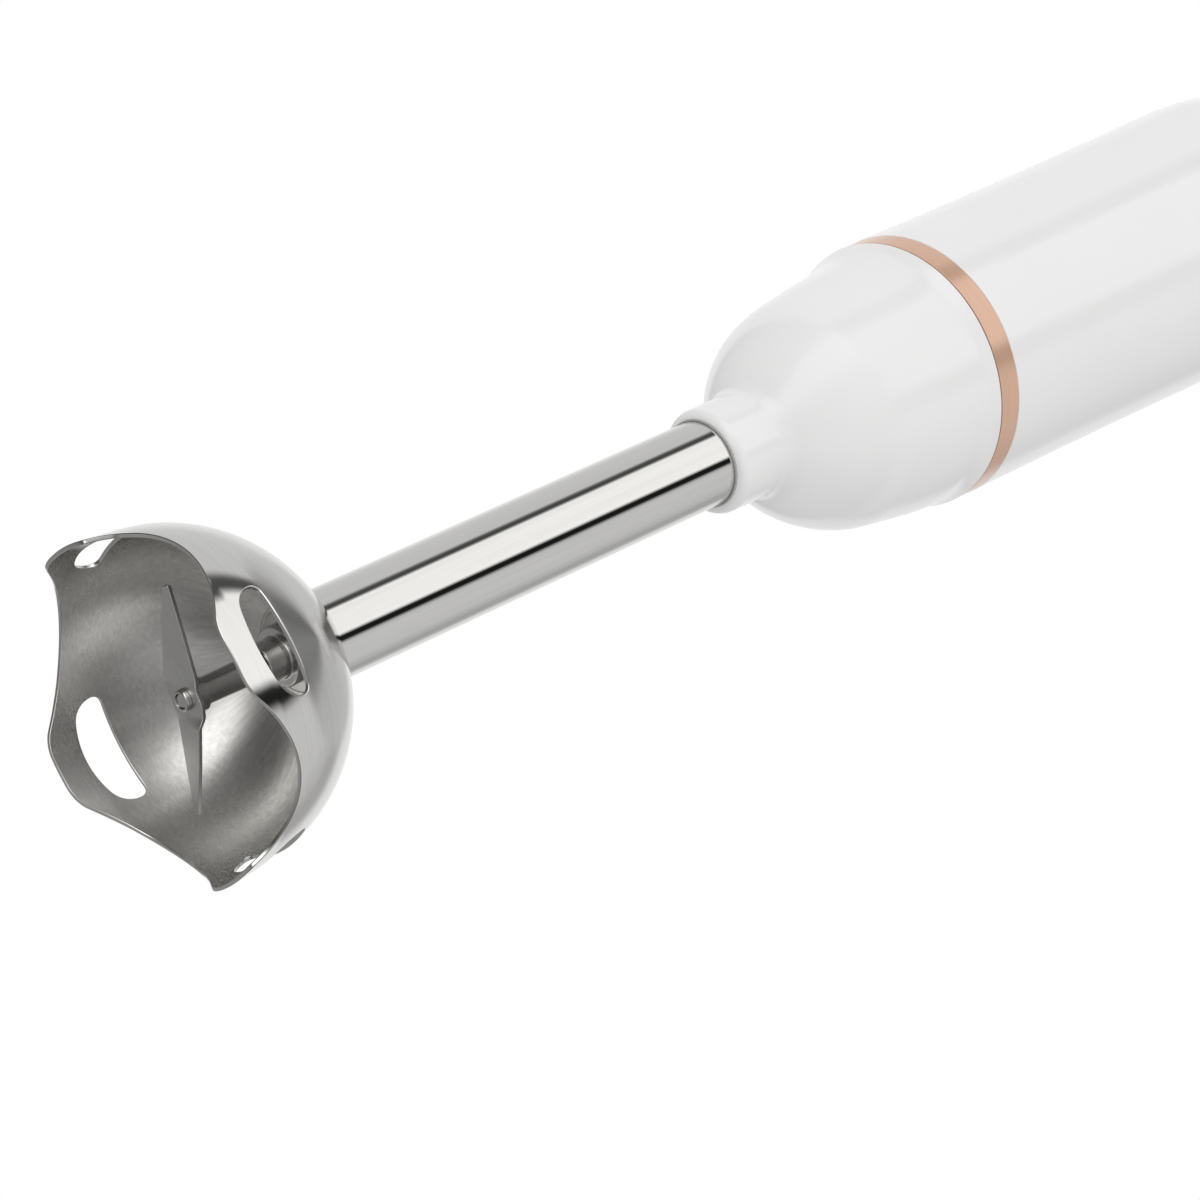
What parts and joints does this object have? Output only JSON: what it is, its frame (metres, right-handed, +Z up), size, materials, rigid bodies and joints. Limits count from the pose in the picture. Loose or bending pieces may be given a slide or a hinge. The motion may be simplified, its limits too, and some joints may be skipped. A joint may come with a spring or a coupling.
{
  "type": "immersion blender",
  "caption": "Upright hand-held immersion blender: motor handle with accent ring, pull-off steel blending arm, lobed blade guard and winged blade.",
  "frame": {"origin": "centre of the foot plane of the blade guard, on the blender's axis, under the lobe tips", "axes": "+Z up along the axis from the blade guard to the handle, -Y towards the front buttons, +X to the right seen from the front"},
  "size_m": [0.0696, 0.0696, 0.4245],
  "materials": {
    "white_gloss": "gloss white moulded plastic",
    "copper_ring": "polished rose-gold plating",
    "guard_steel": "satin brushed stainless steel",
    "tube_steel": "mirror-polished stainless steel",
    "blade_steel": "ground stainless steel",
    "turned_steel": "turned steel",
    "spring_steel": "spring steel",
    "zinc_steel": "zinc-plated screws",
    "grey_plastic": "dark grey moulded plastic",
    "soft_grey": "soft-touch grey plastic",
    "seal_grey": "grey silicone rubber",
    "black_rubber": "black rubber",
    "bronze": "sintered bronze",
    "lamination": "laminated electrical steel",
    "copper_wire": "enamelled copper wire",
    "commutator_copper": "bare copper bars",
    "brush_brass": "pressed brass",
    "carbon": "carbon graphite",
    "board_green": "circuit board laminate",
    "black_plastic": "black moulded plastic",
    "yellow_film": "film capacitor case",
    "nylon": "natural nylon"
  },
  "bodies": {
    "motor_unit": {"barrel_housing": "white_gloss", "grip_housing": "white_gloss", "top_cap": "white_gloss", "dial_ring": "copper_ring", "button_bezel": "soft_grey", "accent_ring": "copper_ring", "coupling_spigot": "grey_plastic", "spigot_screws": "zinc_steel", "latch_spring": "spring_steel", "motor_bracket_lower": "grey_plastic", "motor_bracket_upper": "grey_plastic", "motor_bearing_lower": "bronze", "motor_bearing_upper": "bronze", "rubber_mount_lower": "black_rubber", "rubber_mount_upper": "black_rubber", "stator_core": "lamination", "field_coils": "copper_wire", "brush_holders": "brush_brass", "carbon_brushes": "carbon", "brush_springs": "spring_steel", "circuit_board": "board_green", "suppressor_capacitor": "yellow_film", "power_switch": "black_plastic", "turbo_switch": "black_plastic", "speed_potentiometer": "black_plastic", "cord_inlet": "soft_grey"},
    "rotor": {"motor_shaft": "turned_steel", "armature_core": "lamination", "armature_winding": "copper_wire", "commutator": "commutator_copper", "cooling_fan": "nylon", "drive_coupling": "nylon"},
    "blending_arm": {"arm_dome": "white_gloss", "adapter_insert": "grey_plastic", "collar_seal_ring": "seal_grey", "arm_tube": "tube_steel", "blade_guard": "guard_steel", "bearing_housing": "turned_steel", "lower_bushing": "bronze", "upper_bushing": "bronze", "upper_bearing_carrier": "nylon", "shaft_seal": "black_rubber"},
    "blade_shaft": {"drive_shaft": "turned_steel", "blade": "blade_steel", "blade_rivet": "turned_steel", "blade_spacer": "turned_steel", "shaft_coupling": "nylon", "retaining_clip": "spring_steel"},
    "power_key": {"power_button": "white_gloss", "power_plunger": "nylon"},
    "turbo_key": {"turbo_button": "white_gloss", "turbo_plunger": "nylon"},
    "release_key": {"release_button": "soft_grey"},
    "dial": {"speed_dial": "soft_grey", "dial_shaft": "nylon"}
  },
  "joints": [
    {"name": "rotor_spin", "type": "hinge", "parent": "motor_unit", "child": "rotor", "pos_m": [0, 0, 0.26], "axis": [0, 0, 1], "continuous": true},
    {"name": "arm_release", "type": "slide", "parent": "motor_unit", "child": "blending_arm", "axis": [0, 0, -1], "range_m": [0, 0.045], "deforming": ["latch_spring"]},
    {"name": "blade_spin", "type": "hinge", "parent": "blending_arm", "child": "blade_shaft", "pos_m": [0, 0, 0.1], "axis": [0, 0, 1], "continuous": true},
    {"name": "power_press", "type": "slide", "parent": "motor_unit", "child": "power_key", "axis": [0, 1, 0], "range_m": [0, 0.0015], "stiffness_N_per_m": 1200, "springref_m": -0.001},
    {"name": "turbo_press", "type": "slide", "parent": "motor_unit", "child": "turbo_key", "axis": [0, 1, 0], "range_m": [0, 0.0015], "stiffness_N_per_m": 1200, "springref_m": -0.001},
    {"name": "release_press", "type": "slide", "parent": "motor_unit", "child": "release_key", "axis": [0, -1, 0], "range_m": [0, 0.002], "stiffness_N_per_m": 1500, "springref_m": -0.001, "deforming": ["latch_spring"]},
    {"name": "dial_turn", "type": "hinge", "parent": "motor_unit", "child": "dial", "pos_m": [0, 0, 0.42], "axis": [0, 0, 1], "range_deg": [0, 270]}
  ],
  "couplings": [
    {"joint": "blade_spin", "follows": "rotor_spin", "ratio": 1}
  ]
}
